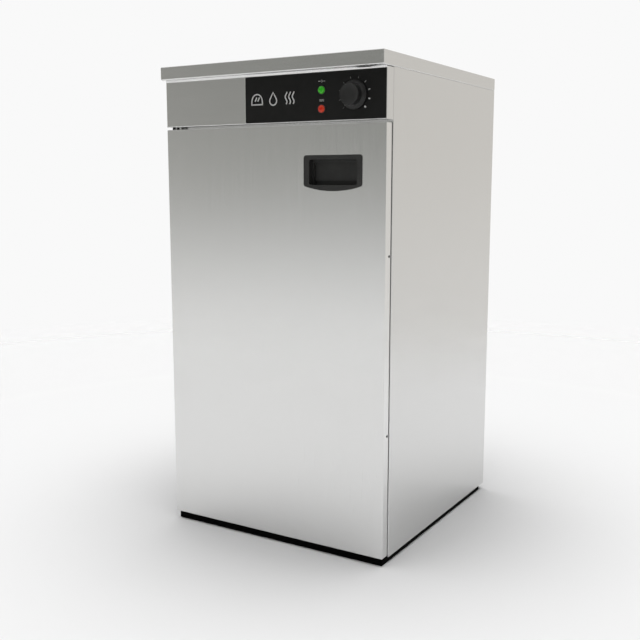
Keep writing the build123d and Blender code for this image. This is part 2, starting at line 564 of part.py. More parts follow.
GRIP_PROUD = 1.4
CUP_BACK = PANEL_DEPTH - 0.2
CUP_WALL = 1.5
LEDGE_WIDTH = 4.0                             # step round the finger recess
LEDGE_DEPTH, CUP_FLOOR = FRONT + 9.0, FRONT + 12.0
SLOT_HEIGHT = 7.0                             # deeper finger slot along the bottom


def sink(x_limits, z_limits, corner, floor):
    """A rounded pocket from the front down to a floor."""
    with BuildSketch(Plane.XZ.offset(-y(floor))) as pocket:
        with Locations((sum(x_limits) / 2, sum(z_limits) / 2)):
            RectangleRounded(x_limits[1] - x_limits[0], z_limits[1] - z_limits[0], corner)
    extrude(pocket.sketch, amount=floor, mode=Mode.SUBTRACT)


with BuildPart() as door_grip:
    with BuildSketch(Plane.XZ.offset(-y(FRONT))) as escutcheon:
        with BuildLine():
            Polyline((GRIP_LEFT, GRIP_LOW), (GRIP_LEFT, GRIP_TOP), (GRIP_RIGHT, GRIP_TOP),
                     (GRIP_RIGHT, GRIP_LOW))
            ThreePointArc((GRIP_RIGHT, GRIP_LOW),
                          ((GRIP_LEFT + GRIP_RIGHT) / 2, GRIP_LOW - GRIP_SAG),
                          (GRIP_LEFT, GRIP_LOW))
        make_face()
        fillet(escutcheon.vertices(), 5)
    extrude(escutcheon.sketch, amount=GRIP_PROUD)
    fillet(door_grip.faces().sort_by(Axis.Y)[0].edges(), 0.8)
    block((RECESS_X[0] - CUP_WALL, RECESS_X[1] + CUP_WALL), (FRONT, CUP_BACK),
          (RECESS_Z[0] - CUP_WALL, RECESS_Z[1] + CUP_WALL))
    inner_x = (RECESS_X[0] + LEDGE_WIDTH, RECESS_X[1] - LEDGE_WIDTH)
    sink(RECESS_X, RECESS_Z, 4, LEDGE_DEPTH)
    sink(inner_x, (RECESS_Z[0], RECESS_Z[1] - LEDGE_WIDTH), 3, CUP_FLOOR)
    sink(inner_x, (RECESS_Z[0], RECESS_Z[0] + SLOT_HEIGHT), 2, CUP_BACK - CUP_WALL)
save(door_grip.part, "door_grip")

EDGE_SCREW_DEPTH = 27.0
EDGE_SCREW_LEVELS = (227.5, 528.0)

with BuildPart() as door_edge_screws:
    for level in EDGE_SCREW_LEVELS:
        rod_x(EDGE_SCREW_DEPTH, level, (FRONT_HALF, FRONT_HALF + 0.7), 2.2)
save(door_edge_screws.part, "door_edge_screws")

with BuildPart() as door_panel_screws:
    for screw_x in (-218, 218):
        for level in (60, 255, 500, 695):
            rod_y(screw_x, level, (DOOR_BACK, DOOR_BACK + 1.3), 3.0)
save(door_panel_screws.part, "door_panel_screws")

CATCH_X = (150.0, 190.0)

with BuildPart() as catch_keeper:
    block(CATCH_X, (PANEL_DEPTH + SHEET, PANEL_DEPTH + 2 * SHEET), (690, 714))
    block(CATCH_X, (PANEL_DEPTH + 2 * SHEET, FACE + 2.6), (694, 709))
save(catch_keeper.part, "catch_keeper")

# ---------------------------------------------------------------- hinges and catch on the body
with BuildPart() as hinge_top:
    plate_x = (SHEET - FRONT_HALF + 1, -186)
    plate_low = FASCIA_LOW + SHEET
    block(plate_x, (17, FACE), (plate_low, plate_low + 3))
    block(plate_x, (FACE - 3, FACE), (plate_low, plate_low + 28))
    rod_z(HINGE_X, HINGE_DEPTH, (DOOR_HIGH + 0.6, plate_low), PIN_R + 0.4)
    rod_z(HINGE_X, HINGE_DEPTH, (DOOR_HIGH - 11, plate_low), PIN_R)
save(hinge_top.part, "hinge_top")

with BuildPart() as hinge_bottom:
    plate_high = FLOOR_GAP - SHEET
    block((HINGE_X - 3.5, HINGE_X + 34), (HINGE_DEPTH - 3, HINGE_DEPTH + 24),
          (plate_high - 3, plate_high))
    rod_z(HINGE_X, HINGE_DEPTH, (FLOOR_GAP, DOOR_LOW - 0.3), PIN_R + 2)
    rod_z(HINGE_X, HINGE_DEPTH, (plate_high, DOOR_LOW + 11), PIN_R)
save(hinge_bottom.part, "hinge_bottom")

with BuildPart() as magnet_catch:
    block(CATCH_X, (FACE + 3, FACE + 16), (693, CAVITY_ROOF))
save(magnet_catch.part, "magnet_catch")

# ---------------------------------------------------------------- back fittings
with BuildPart() as cable_gland:
    rod_y(GLAND_X, GLAND_Z, (BACK - 8, BACK - SHEET), 12.0)
    rod_y(GLAND_X, GLAND_Z, (BACK - SHEET, BACK), GLAND_THREAD_R)
    with BuildSketch(Plane.XZ.offset(-y(BACK))) as gland_hex:
        with Locations((GLAND_X, GLAND_Z)):
            RegularPolygon(12.5, 6)
    extrude(gland_hex.sketch, amount=-5)
    rod_y(GLAND_X, GLAND_Z, (BACK + 5, DEPTH + GLAND_OVERHANG), 9.5)
    dome_rim = cable_gland.faces().sort_by(Axis.Y)[-1].edges()
    fillet(dome_rim, 2.5)
    rod_y(GLAND_X, GLAND_Z, (BACK - 8, DEPTH + GLAND_OVERHANG), 4.0, Mode.SUBTRACT)
save(cable_gland.part, "cable_gland")

with BuildPart() as back_screws:
    for screw_x in (-214, 214):
        for level in (40, 190, 340, 490, 640, 800):
            rod_y(screw_x, level, (BACK, BACK + 2.0), 3.6)
    fillet(back_screws.edges().group_by(Axis.Y)[-1], 1.0)
save(back_screws.part, "back_screws")

# ---------------------------------------------------------------- levelling feet
NUT_HEIGHT = 7.5
GLIDE_R, GLIDE_HEIGHT = 17.0, 7.0
foot_places = {"front_left": (-FOOT_X, FOOT_DEPTHS[0]), "front_right": (FOOT_X, FOOT_DEPTHS[0]),
               "rear_left": (-FOOT_X, FOOT_DEPTHS[1]), "rear_right": (FOOT_X, FOOT_DEPTHS[1])}

with BuildPart() as foot_nuts:
    for foot_x, foot_depth in foot_places.values():
        nut_low = FLOOR_GAP + SHEET
        with BuildSketch(Plane.XY.offset(nut_low)) as nut:
            with Locations((foot_x, y(foot_depth))):
                RegularPolygon(7.5, 6)
        extrude(nut.sketch, amount=NUT_HEIGHT)
        rod_z(foot_x, foot_depth, (nut_low, nut_low + NUT_HEIGHT), NUT_BORE_R, Mode.SUBTRACT)
save(foot_nuts.part, "foot_nuts")

for place, (foot_x, foot_depth) in foot_places.items():
    with BuildPart() as foot:
        rod_z(foot_x, foot_depth, (0, GLIDE_HEIGHT), GLIDE_R)
        fillet(foot.faces().sort_by(Axis.Z)[-1].edges(), 3)
        fillet(foot.faces().sort_by(Axis.Z)[0].edges(), 1)
        with BuildSketch(Plane.XY.offset(GLIDE_HEIGHT)) as spanner_flats:
            with Locations((foot_x, y(foot_depth))):
                RegularPolygon(8, 6)
        extrude(spanner_flats.sketch, amount=4)
        rod_z(foot_x, foot_depth, (GLIDE_HEIGHT, FLOOR_GAP + SHEET + NUT_HEIGHT + 1), STUD_R)
    save(foot.part, f"foot_{place}")
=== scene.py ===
"""Looks of the single-door heated proofing cabinet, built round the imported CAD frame.

Metres, +X to the right, +Y to the back, +Z up. Every place comes from the frame's own nodes;
the sizes named here are those of the detail that the frame doesn't carry.
"""
import json
import math

import bmesh
import bpy
from mathutils import Matrix, Vector


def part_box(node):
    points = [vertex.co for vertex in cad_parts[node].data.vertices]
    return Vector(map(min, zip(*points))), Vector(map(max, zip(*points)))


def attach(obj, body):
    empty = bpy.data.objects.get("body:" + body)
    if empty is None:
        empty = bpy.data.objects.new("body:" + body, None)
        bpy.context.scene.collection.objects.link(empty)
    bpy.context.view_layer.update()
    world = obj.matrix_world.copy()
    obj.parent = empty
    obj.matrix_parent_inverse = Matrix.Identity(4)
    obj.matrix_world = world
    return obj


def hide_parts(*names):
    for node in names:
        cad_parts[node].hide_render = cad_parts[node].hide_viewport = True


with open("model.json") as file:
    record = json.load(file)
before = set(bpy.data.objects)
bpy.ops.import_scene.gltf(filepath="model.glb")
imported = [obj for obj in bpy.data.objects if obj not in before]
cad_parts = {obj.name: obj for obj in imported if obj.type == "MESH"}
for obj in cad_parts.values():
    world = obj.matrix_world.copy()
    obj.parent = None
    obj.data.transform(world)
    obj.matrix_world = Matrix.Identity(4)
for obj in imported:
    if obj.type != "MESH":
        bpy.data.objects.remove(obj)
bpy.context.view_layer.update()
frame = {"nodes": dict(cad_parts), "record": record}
MM = 0.001


# ---------------------------------------------------------------- material helpers
def map_range(tree, factor, start, end, low, high):
    """A node that turns start..end into low..high, and holds beyond them."""
    made = tree.nodes.new("ShaderNodeMapRange")
    settings = (("From Min", start), ("From Max", end), ("To Min", low), ("To Max", high))
    for name, value in settings:
        made.inputs[name].default_value = value
    tree.links.new(factor, made.inputs["Value"])
    return made.outputs["Result"]


class Surface:
    """A Principled material whose variation comes from nodes in the object's own metres."""

    def __init__(self, name, colour, roughness, metallic=0.0, **sockets):
        self.material = bpy.data.materials.new(name)
        self.material.use_nodes = True
        self.tree = self.material.node_tree
        self.shader = self.tree.nodes["Principled BSDF"]
        self.colour = colour
        self.set("Base Color", (*colour, 1.0))
        self.set("Roughness", roughness)
        self.set("Metallic", metallic)
        for socket, value in sockets.items():
            self.set(socket.replace("_", " "), value)

    def set(self, socket, value):
        self.shader.inputs[socket].default_value = value

    def node(self, kind, **inputs):
        made = self.tree.nodes.new(kind)
        for name, value in inputs.items():
            made.inputs[name].default_value = value
        return made

    def link(self, source, target):
        self.tree.links.new(source, target)

    def place(self, scale):
        """Object coordinates, scaled along each axis."""
        coords = self.tree.nodes.new("ShaderNodeTexCoord")
        mapping = self.tree.nodes.new("ShaderNodeMapping")
        mapping.inputs["Scale"].default_value = scale
        self.link(coords.outputs["Object"], mapping.inputs["Vector"])
        return mapping.outputs["Vector"]

    def noise(self, scale, detail=2.0, rough=0.5):
        """Noise with that many features to the metre along each axis."""
        made = self.node("ShaderNodeTexNoise", Scale=1.0, Detail=detail, Roughness=rough)
        self.link(self.place(scale), made.inputs["Vector"])
        return made.outputs["Fac"]

    def spread(self, factor, low, high, start=0.3, end=0.7):
        """A factor between start and end, turned into a value between low and high."""
        return map_range(self.tree, factor, start, end, low, high)

    def add(self, first, second):
        """The sum of two factors."""
        made = self.tree.nodes.new("ShaderNodeMath")
        made.operation = "ADD"
        self.link(first, made.inputs[0])
        self.link(second, made.inputs[1])
        return made.outputs["Value"]

    def vector(self, operation, source, other=None):
        """The node for a vector operation on a source and, if it needs one, a constant."""
        made = self.tree.nodes.new("ShaderNodeVectorMath")
        made.operation = operation
        self.link(source, made.inputs[0])
        if other is not None:
            made.inputs[1].default_value = other
        return made

    def tint(self, factor, dark, light, start=0.3, end=0.7):
        """Colour that runs from dark to light times the base colour."""
        ramp = self.tree.nodes.new("ShaderNodeValToRGB")
        for stop, at, gain in zip(ramp.color_ramp.elements, (start, end), (dark, light)):
            stop.position = at
            stop.color = (*(min(1.0, c * gain) for c in self.colour), 1.0)
        self.link(factor, ramp.inputs["Fac"])
        self.link(ramp.outputs["Color"], self.shader.inputs["Base Color"])

    def rough(self, value):
        self.link(value, self.shader.inputs["Roughness"])

    def bump(self, height, distance, strength=1.0):
        made = self.node("ShaderNodeBump", Distance=distance, Strength=strength)
        self.link(height, made.inputs["Height"])
        self.link(made.outputs["Normal"], self.shader.inputs["Normal"])


def along(axis, fine, coarse):
    """Scales for a texture stretched along one axis."""
    return tuple(coarse if letter == axis else fine for letter in "xyz")


def brushed_steel(name, axis, colour=(0.75, 0.75, 0.745), low=0.215, high=0.265):
    """Stainless sheet with its grain along one axis, faint streaks and wiped-on smudges."""
    steel = Surface(name, colour, low, metallic=1.0)
    grain = steel.noise(along(axis, 2600.0, 14.0), detail=3.0, rough=0.65)
    streaks = steel.noise(along(axis, 420.0, 1.2), detail=5.0, rough=0.7)
    smudges = steel.noise((3.0, 3.0, 2.2), detail=1.0)
    steel.tint(steel.add(steel.spread(grain, 0.0, 0.6), steel.spread(streaks, 0.0, 0.4)),
               0.98, 1.015, start=0.1, end=0.9)
    steel.rough(steel.add(steel.spread(grain, low, high),
                          steel.spread(smudges, -0.008, 0.012, 0.3, 0.7)))
    steel.bump(grain, 0.004 * MM, 0.3)
    return steel.material


def mill_steel(name, colour=(0.64, 0.64, 0.63), low=0.20, high=0.34):
    """Bright sheet off the roll: soft rolling lines along X and water marks."""
    steel = Surface(name, colour, low, metallic=1.0)
    lines = steel.noise((8.0, 700.0, 700.0), detail=3.0, rough=0.6)
    marks = steel.noise((14.0, 14.0, 9.0), detail=5.0, rough=0.6)
    steel.tint(marks, 0.93, 1.04)
    steel.rough(steel.add(steel.spread(lines, low, high), steel.spread(marks, -0.02, 0.06)))
    steel.bump(lines, 0.01 * MM, 0.4)
    return steel.material


def galvanised(name):
    """Hot-dip zinc: angular spangle of several greys."""
    zinc = Surface(name, (0.50, 0.52, 0.53), 0.42, metallic=0.9)
    cells = zinc.tree.nodes.new("ShaderNodeTexVoronoi")
    cells.inputs["Scale"].default_value = 1.0
    zinc.link(zinc.place((110.0, 110.0, 110.0)), cells.inputs["Vector"])
    grey = zinc.tree.nodes.new("ShaderNodeSeparateColor")
    zinc.link(cells.outputs["Color"], grey.inputs["Color"])
    zinc.tint(grey.outputs["Red"], 0.80, 1.15, start=0.0, end=1.0)
    zinc.rough(zinc.spread(grey.outputs["Green"], 0.32, 0.52, 0.0, 1.0))
    zinc.bump(zinc.noise((400.0, 400.0, 400.0)), 0.02 * MM, 0.5)
    return zinc.material


def moulded(name, colour, low, high, grain=1400.0, depth=0.02, **sockets):
    """Moulded plastic or rubber: fine spark-eroded texture and slight tone change."""
    plastic = Surface(name, colour, low, **sockets)
    texture = plastic.noise((grain, grain, grain), detail=2.0, rough=0.7)
    clouds = plastic.noise((35.0, 35.0, 35.0), detail=3.0)
    plastic.tint(clouds, 0.85, 1.2)
    plastic.rough(plastic.spread(texture, low, high))
    plastic.bump(texture, depth * MM, 0.6)
    return plastic.material


def powder_coat(name, colour, low, high, **sockets):
    """Painted metal with orange peel."""
    paint = Surface(name, colour, low, **sockets)
    peel = paint.noise((500.0, 500.0, 500.0), detail=1.0)
    paint.tint(paint.noise((30.0, 30.0, 30.0), detail=4.0), 0.85, 1.25)
    paint.rough(paint.spread(peel, low, high))
    paint.bump(peel, 0.06 * MM, 0.6)
    return paint.material


def panel_film(name):
    """Black screen-printed panel: satin film with a faint pebble and dust-fine speckle."""
    film = Surface(name, (0.0112, 0.0112, 0.0108), 0.34, Specular_IOR_Level=0.20)
    pebble = film.noise((1800.0, 1800.0, 1800.0), detail=2.0, rough=0.6)
    film.tint(film.noise((60.0, 60.0, 60.0), detail=4.0), 0.9, 1.15)
    film.rough(film.spread(pebble, 0.30, 0.42))
    film.bump(pebble, 0.01 * MM, 0.5)
    return film.material


def printed_ink(name, colour):
    """Screen-printed ink, slightly uneven in cover."""
    ink = Surface(name, colour, 0.55)
    cover = ink.noise((2500.0, 2500.0, 2500.0), detail=3.0)
    ink.tint(cover, 0.88, 1.06)
    ink.rough(ink.spread(cover, 0.45, 0.65))
    return ink.material


def lamp_plastic(name, centre, rim, glow, axis_x, axis_z, radius):
    """Dyed lens plastic with moulded prisms: deep at its axis, paler at the rim, lit from inside."""
    lens = Surface(name, centre, 0.16, Coat_Weight=0.1, Coat_Roughness=0.08,
                   Specular_IOR_Level=0.3, Emission_Strength=glow)
    lens.set("Emission Color", (*centre, 1.0))
    coords = lens.tree.nodes.new("ShaderNodeTexCoord")
    centred = lens.vector("SUBTRACT", coords.outputs["Object"], (axis_x, 0.0, axis_z))
    flat = lens.vector("MULTIPLY", centred.outputs["Vector"], (1.0, 0.0, 1.0))
    reach = lens.vector("LENGTH", flat.outputs["Vector"])
    ramp = lens.tree.nodes.new("ShaderNodeValToRGB")
    ramp.color_ramp.elements[0].color = (*centre, 1.0)
    ramp.color_ramp.elements[1].color = (*rim, 1.0)
    lens.link(lens.spread(reach.outputs["Value"], 0.0, 1.0, 0.25 * radius, 0.85 * radius),
              ramp.inputs["Fac"])
    lens.link(ramp.outputs["Color"], lens.shader.inputs["Base Color"])
    prisms = lens.tree.nodes.new("ShaderNodeTexWave")
    prisms.inputs["Scale"].default_value = 1.0
    lens.link(lens.place((330.0, 330.0, 330.0)), prisms.inputs["Vector"])
    lens.bump(prisms.outputs["Fac"], 0.2 * MM, 0.4)
    return lens.material


def drawn_metal(name, colour, low, high, metallic=1.0):
    """Drawn or plated metal: soft tarnish and small pits."""
    metal = Surface(name, colour, low, metallic=metallic)
    tarnish = metal.noise((60.0, 60.0, 60.0), detail=4.0, rough=0.6)
    pits = metal.noise((900.0, 900.0, 900.0), detail=2.0)
    metal.tint(tarnish, 0.82, 1.08)
    metal.rough(metal.add(metal.spread(tarnish, low, high), metal.spread(pits, -0.03, 0.03)))
    metal.bump(pits, 0.015 * MM, 0.4)
    return metal.material


def wool(name):
    """Mineral wool: matted fibre."""
    fibre = Surface(name, (0.55, 0.47, 0.24), 0.95)
    mat = fibre.noise((700.0, 160.0, 700.0), detail=5.0, rough=0.7)
    fibre.tint(mat, 0.55, 1.3)
    fibre.bump(mat, 1.2 * MM, 0.9)
    return fibre.material


# ---------------------------------------------------------------- mesh helpers
def mesh_piece(name, bm, material, body, sharp=35.0):
    """Turns a bmesh into a shaded piece that rides on a body."""
    bmesh.ops.recalc_face_normals(bm, faces=bm.faces)
    mesh = bpy.data.meshes.new(name)
    bm.to_mesh(mesh)
    bm.free()
    mesh.shade_smooth()
    mesh.set_sharp_from_angle(angle=math.radians(sharp))
    mesh.materials.append(material)
    piece = bpy.data.objects.new(name, mesh)
    bpy.context.scene.collection.objects.link(piece)
    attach(piece, body)
    return piece


def add_turned(bm, outline, place, steps):
    """Adds a turned form. outline is (radius, height) points; place moves it into the frame."""
    rings = []
    for radius, height in outline:
        points = [(radius * math.cos(turn), radius * math.sin(turn), height)
                  for turn in (2 * math.pi * step / steps for step in range(steps))]
        if radius == 0.0:
            points = [(0.0, 0.0, height)]
        rings.append([bm.verts.new(place @ Vector(point)) for point in points])
    for lower, upper in zip(rings, rings[1:]):
        for step in range(steps):
            corners = [lower[step % len(lower)], lower[(step + 1) % len(lower)],
                       upper[(step + 1) % len(upper)], upper[step % len(upper)]]
            bm.faces.new(list(dict.fromkeys(corners)))


def arc_points(centre, radius, start, end, steps=8):
    """Points of an arc in an outline, angles in degrees."""
    turns = (math.radians(start + (end - start) * step / steps) for step in range(steps + 1))
    return [(centre[0] + radius * math.cos(turn), centre[1] + radius * math.sin(turn))
            for turn in turns]


def facing(direction, origin):
    """A placement whose Z points along a direction and whose Y stays as upright as it can."""
    z_axis = Vector(direction).normalized()
    guide = Vector((0, 0, 1)) if abs(z_axis.z) < 0.9 else Vector((0, 1, 0))
    x_axis = guide.cross(z_axis).normalized()
    y_axis = z_axis.cross(x_axis)
    place = Matrix((x_axis, y_axis, z_axis)).transposed().to_4x4()
    place.translation = Vector(origin)
    return place


def add_ribbon(bm, points, width, y_face, thick, closed=False):
    """Adds a printed line of even width that follows (x, z) points on a plane facing the front."""
    count = len(points)
    sides = []
    for index, point in enumerate(points):
        before = points[index - 1] if index or closed else point
        after = points[(index + 1) % count] if index < count - 1 or closed else point
        way = (Vector(after) - Vector(before)).normalized()
        normal = Vector((-way.y, way.x)) * width / 2
        sides.append([(point[0] + side * normal.x, point[1] + side * normal.y)
                      for side in (1, -1)])
    layers = [[[bm.verts.new((x, y_face - depth, z)) for x, z in pair] for pair in sides]
              for depth in (0.0, thick)]
    spans = count if closed else count - 1
    for index in range(spans):
        nxt = (index + 1) % count
        back, front = layers
        bm.faces.new((front[index][0], front[index][1], front[nxt][1], front[nxt][0]))
        bm.faces.new((back[index][0], back[nxt][0], back[nxt][1], back[index][1]))
        for side in (0, 1):
            bm.faces.new((back[index][side], back[nxt][side], front[nxt][side],
                          front[index][side]))
    if not closed:
        for index in (0, -1):
            bm.faces.new((layers[0][index][0], layers[0][index][1], layers[1][index][1],
                          layers[1][index][0]))


def middle(node):
    """The middle of a node's box."""
    low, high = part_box(node)
    return (low + high) / 2


# ---------------------------------------------------------------- materials on the CAD nodes
GREEN, RED = "green_lamp_lens", "red_lamp_lens"
LAMP_R = (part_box(GREEN)[1].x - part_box(GREEN)[0].x) / 2

DULLER = (0.689, 0.689, 0.684)            # worktop, fascia, rails and side panels
steel_across = brushed_steel("steel_grain_across", "x", DULLER)
steel_side = brushed_steel("steel_grain_side", "z", DULLER)
steel_upright = brushed_steel("steel_grain_upright", "z")
finishes = {
    "brushed_stainless": steel_upright,
    "bright_stainless": mill_steel("steel_mill_finish"),
    "galvanised_sheet": galvanised("zinc_spangle"),
    # Painted shade: the base is near-total black so that it stands for the deep shade under the
    # cabinet.
    "black_base": powder_coat("base_painted_shade", (0.0016, 0.0016, 0.0016), 0.75, 0.95,
                              Specular_IOR_Level=0.05),
    "shelf_wire": drawn_metal("shelf_wire_polish", (0.66, 0.66, 0.65), 0.12, 0.22),
    "mineral_wool": wool("wool_fibre"),
    "panel_black": panel_film("panel_film"),
    "knob_black": moulded("knob_moulding", (0.019, 0.019, 0.0185), 0.36, 0.50,
                          Specular_IOR_Level=0.34),
    "grip_black": moulded("grip_moulding", (0.032, 0.032, 0.0305), 0.42, 0.58,
                          Specular_IOR_Level=0.36),
    "foot_black": moulded("foot_rubber", (0.014, 0.014, 0.014), 0.65, 0.85, grain=900.0),
    "lens_green": lamp_plastic("lens_green_dye", (0.014, 0.38, 0.003), (0.09, 0.44, 0.04), 0.30,
                               middle(GREEN).x, middle(GREEN).z, LAMP_R),
    "lens_red": lamp_plastic("lens_red_dye", (0.52, 0.012, 0.001), (0.50, 0.07, 0.025), 0.30,
                             middle(RED).x, middle(RED).z, LAMP_R),
    "control_plastic": moulded("control_moulding", (0.05, 0.05, 0.05), 0.45, 0.6),
    "terminal_plastic": moulded("terminal_moulding", (0.70, 0.69, 0.64), 0.4, 0.5),
    "copper_capillary": drawn_metal("copper_drawn", (0.72, 0.40, 0.25), 0.22, 0.38),
    "element_sheath": drawn_metal("sheath_oxide", (0.20, 0.18, 0.17), 0.38, 0.6),
    "fixings": drawn_metal("zinc_plate", (0.60, 0.60, 0.58), 0.24, 0.36),
    "black_fixings": drawn_metal("black_zinc", (0.02, 0.02, 0.02), 0.35, 0.5, metallic=0.6),
    "magnet": powder_coat("magnet_coat", (0.05, 0.05, 0.055), 0.45, 0.6),
    "hinge_nylon": moulded("hinge_moulding", (0.36, 0.36, 0.35), 0.4, 0.55),
    "gasket_silicone": moulded("gasket_rubber", (0.24, 0.24, 0.235), 0.5, 0.7, grain=700.0),
    "gland_nylon": moulded("gland_moulding", (0.02, 0.02, 0.02), 0.4, 0.55),
}
slot_of = {part["node"]: part["material_slot"] for part in frame["record"]["subparts"]}
steels = {"worktop": steel_across, "fascia": steel_across, "front_top_rail": steel_across,
          "front_bottom_rail": steel_across, "left_side_panel": steel_side,
          "right_side_panel": steel_side}
for name, cad in frame["nodes"].items():
    cad.data.materials.clear()
    cad.data.materials.append(steels.get(name, finishes[slot_of[name]]))

# ---------------------------------------------------------------- thermostat knob
KNOB_LOW, KNOB_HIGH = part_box("knob")
KNOB_R = (KNOB_HIGH.x - KNOB_LOW.x) / 2
KNOB_CENTRE = middle("knob")
DIAL_START = math.radians(225.0)          # where the pointer stands when the heat is off
TICK_PITCH = math.radians(30.0)
TICKS = 10
TICK_REACH = (25.7, 29.4)                 # inner and outer radius of the ticks, in mm
TICK_WIDTH, TICK_GROWTH = 0.22, 0.0034    # width of the first tick in mm, and growth by the cube


def make_knob():
    """Skirt, waist and grip turned in one outline, with a rim ring and a dished front."""
    length = KNOB_HIGH.y - KNOB_LOW.y
    grip_r, waist = 0.75 * KNOB_R, 0.31 * length
    outline = [(0.0, 0.0), (KNOB_R - 0.4 * MM, 0.0)]
    outline += arc_points((KNOB_R - 0.6 * MM, 0.6 * MM), 0.6 * MM, -60, 0)
    outline += [(KNOB_R, 1.9 * MM)]
    outline += arc_points((KNOB_R - 0.8 * MM, 2.0 * MM), 0.8 * MM, 0, 75)
    outline += [(0.93 * KNOB_R, 2.9 * MM), (0.88 * KNOB_R, 3.2 * MM), (0.83 * KNOB_R, 3.7 * MM),
                (0.79 * KNOB_R, 4.5 * MM), (grip_r - 0.3 * MM, waist)]
    outline += [(grip_r, length - 1.0 * MM)]
    outline += arc_points((grip_r - 0.8 * MM, length - 0.8 * MM), 0.8 * MM, 10, 90)
    outline += [(grip_r - 1.8 * MM, length), (grip_r - 2.2 * MM, length - 0.25 * MM),
                (0.4 * grip_r, length - 0.4 * MM), (0.0, length - 0.42 * MM)]
    bm = bmesh.new()
    add_turned(bm, outline, facing((0, -1, 0), (KNOB_CENTRE.x, KNOB_HIGH.y, KNOB_CENTRE.z)), 128)
    knob = mesh_piece("knob_turned", bm, finishes["knob_black"], "thermostat_knob")
    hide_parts("knob")


def make_pointer(ink):
    """A short inlaid line on the knob's skirt."""
    bm = bmesh.new()
    way = Vector((math.cos(DIAL_START), math.sin(DIAL_START)))
    ends = [Vector((KNOB_CENTRE.x, KNOB_CENTRE.z)) + way * radius * KNOB_R
            for radius in (0.955, 0.99)]
    add_ribbon(bm, [tuple(end) for end in ends], 1.3 * MM, KNOB_HIGH.y - 2.5 * MM, 0.4 * MM)
    mesh_piece("knob_pointer", bm, ink, "thermostat_knob")


# ---------------------------------------------------------------- printing on the panel
PANEL_LOW, PANEL_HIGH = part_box("control_panel")
INK_THICK = 0.06 * MM


def print_piece(name, strokes, ink):
    """One printed mark made of (points, width, closed) strokes."""
    bm = bmesh.new()
    for points, width, closed in strokes:
        add_ribbon(bm, points, width, PANEL_LOW.y, INK_THICK, closed)
    mesh_piece(name, bm, ink, "cabinet", sharp=20.0)


def make_dial(ink):
    """Ticks round the knob that thicken as the heat rises."""
    strokes = []
    for tick in range(TICKS):
        turn = DIAL_START - TICK_PITCH * tick
        points = [(KNOB_CENTRE.x + radius * MM * math.cos(turn),
                   KNOB_CENTRE.z + radius * MM * math.sin(turn)) for radius in TICK_REACH]
        strokes.append((points, (TICK_WIDTH + TICK_GROWTH * tick ** 3) * MM, False))
    print_piece("dial_ticks", strokes, ink)


def circle(centre, radius, start, end, steps=32):
    """Points of part of a circle, angles in degrees."""
    return [(centre[0] + x, centre[1] + y) for x, y in arc_points((0, 0), radius, start, end, steps)]


def wave(left, right, z, height, waves, steps=24):
    """A wavy line from left to right."""
    return [(left + (right - left) * step / steps,
             z + height * math.sin(2 * math.pi * waves * step / steps))
            for step in range(steps + 1)]


def make_lamp_signs(ink):
    """A power sign between two dashes over the green lamp, and heat waves over the red one."""
    green, red = middle(GREEN), middle(RED)
    power = (green.x, green.z + 14.0 * MM)
    stem = [(power[0], power[1] + 0.3 * MM), (power[0], power[1] + 2.3 * MM)]
    strokes = [(circle(power, 1.6 * MM, 130, 410), 0.65 * MM, False), (stem, 0.65 * MM, False)]
    for side in (-1, 1):
        dash = [(power[0] + side * reach * MM, power[1]) for reach in (3.0, 6.4)]
        strokes.append((dash, 1.1 * MM, False))
    print_piece("power_sign", strokes, ink)
    heat_z = red.z + 13.6 * MM
    reach, pitch = 4.3 * MM, 1.9 * MM
    waves = [wave(red.x - reach, red.x + reach, heat_z + row * pitch, 0.5 * MM, 2)
             for row in (-0.5, 0.5)]
    print_piece("heat_sign", [(points, 0.8 * MM, False) for points in waves], ink)


def make_emblem(ink):
    """Three plain signs in a row: a loaf, a drop of water and rising heat."""
    centre_x, centre_z = PANEL_LOW.x + 57 * MM, (PANEL_LOW.z + PANEL_HIGH.z) / 2
    pitch, half, line = 33 * MM, 11 * MM, 2.3 * MM
    base, loaf_x = centre_z - 8 * MM, centre_x - pitch
    crown = [(loaf_x + half * math.cos(turn), base + 17 * MM * math.sin(turn) ** 0.7)
             for turn in (math.pi * step / 28 for step in range(29))]
    crust = [(loaf_x - half - line / 2, base), (loaf_x + half + line / 2, base)]
    strokes = [(crown, line, False), (crust, line, False)]
    for shift in (-4.0, 1.5):
        slash = [(loaf_x + shift * MM, base + 5.5 * MM),
                 (loaf_x + (shift + 3.5) * MM, base + 12.0 * MM)]
        strokes.append((slash, line, False))
    drop = circle((centre_x, centre_z - 3.0 * MM), 7.0 * MM, -210, 30, 28)
    strokes.append((drop + [(centre_x, centre_z + 11.0 * MM)], line, True))
    for row in (-1, 0, 1):
        across = centre_x + pitch + row * 7.0 * MM
        rising = [(across + x_off, z) for z, x_off in
                  wave(centre_z - 9.5 * MM, centre_z + 10.5 * MM, 0.0, 1.7 * MM, 1.25)]
        strokes.append((rising, line, False))
    print_piece("bakery_signs", strokes, ink)


